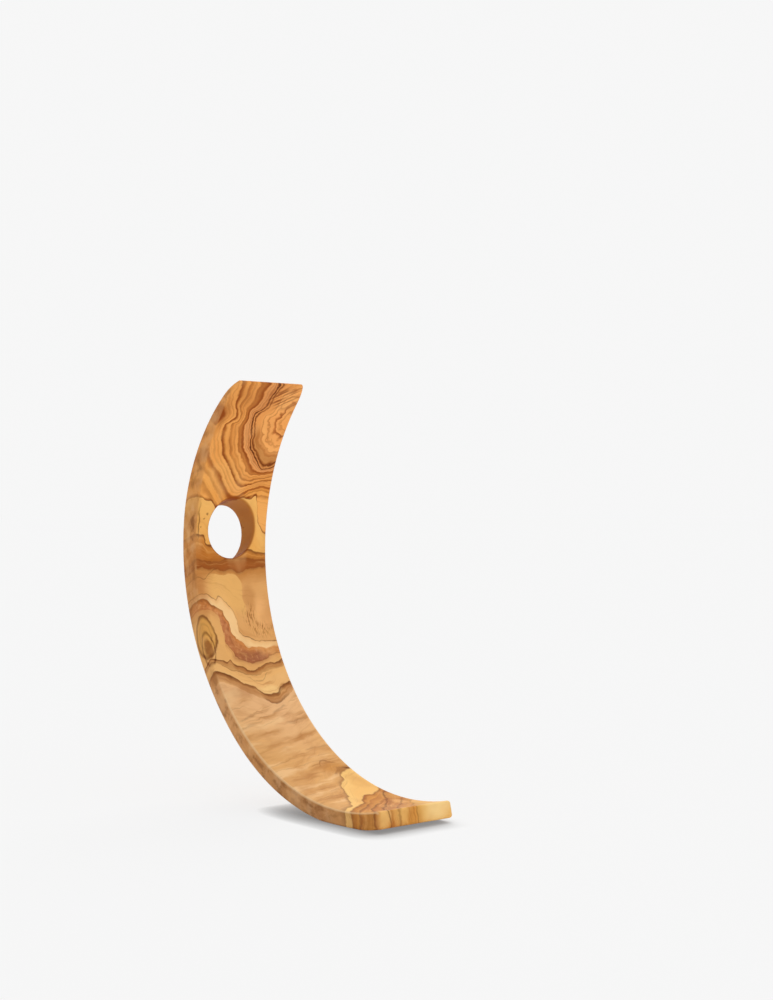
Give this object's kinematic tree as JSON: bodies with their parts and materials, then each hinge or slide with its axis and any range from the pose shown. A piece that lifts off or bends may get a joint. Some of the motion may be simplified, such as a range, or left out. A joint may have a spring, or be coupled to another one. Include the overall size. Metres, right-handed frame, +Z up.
{
  "type": "wine bottle stand",
  "caption": "Crescent of solid olive wood with a slanted hole that grips a wine bottle by its neck, so that the bottle hangs nearly level and both balance on the curved foot.",
  "frame": {"origin": "middle of the part's box, at ground level under the sole", "axes": "+Z up; +X forwards, the way the foot and the bottle's base point; Y across the width"},
  "size_m": [0.1776, 0.051, 0.2355],
  "materials": {
    "olive_wood": "oiled and hand rubbed, satin, with dark contour figure"
  },
  "bodies": {
    "root": {"stand_body": "olive_wood"}
  },
  "joints": []
}
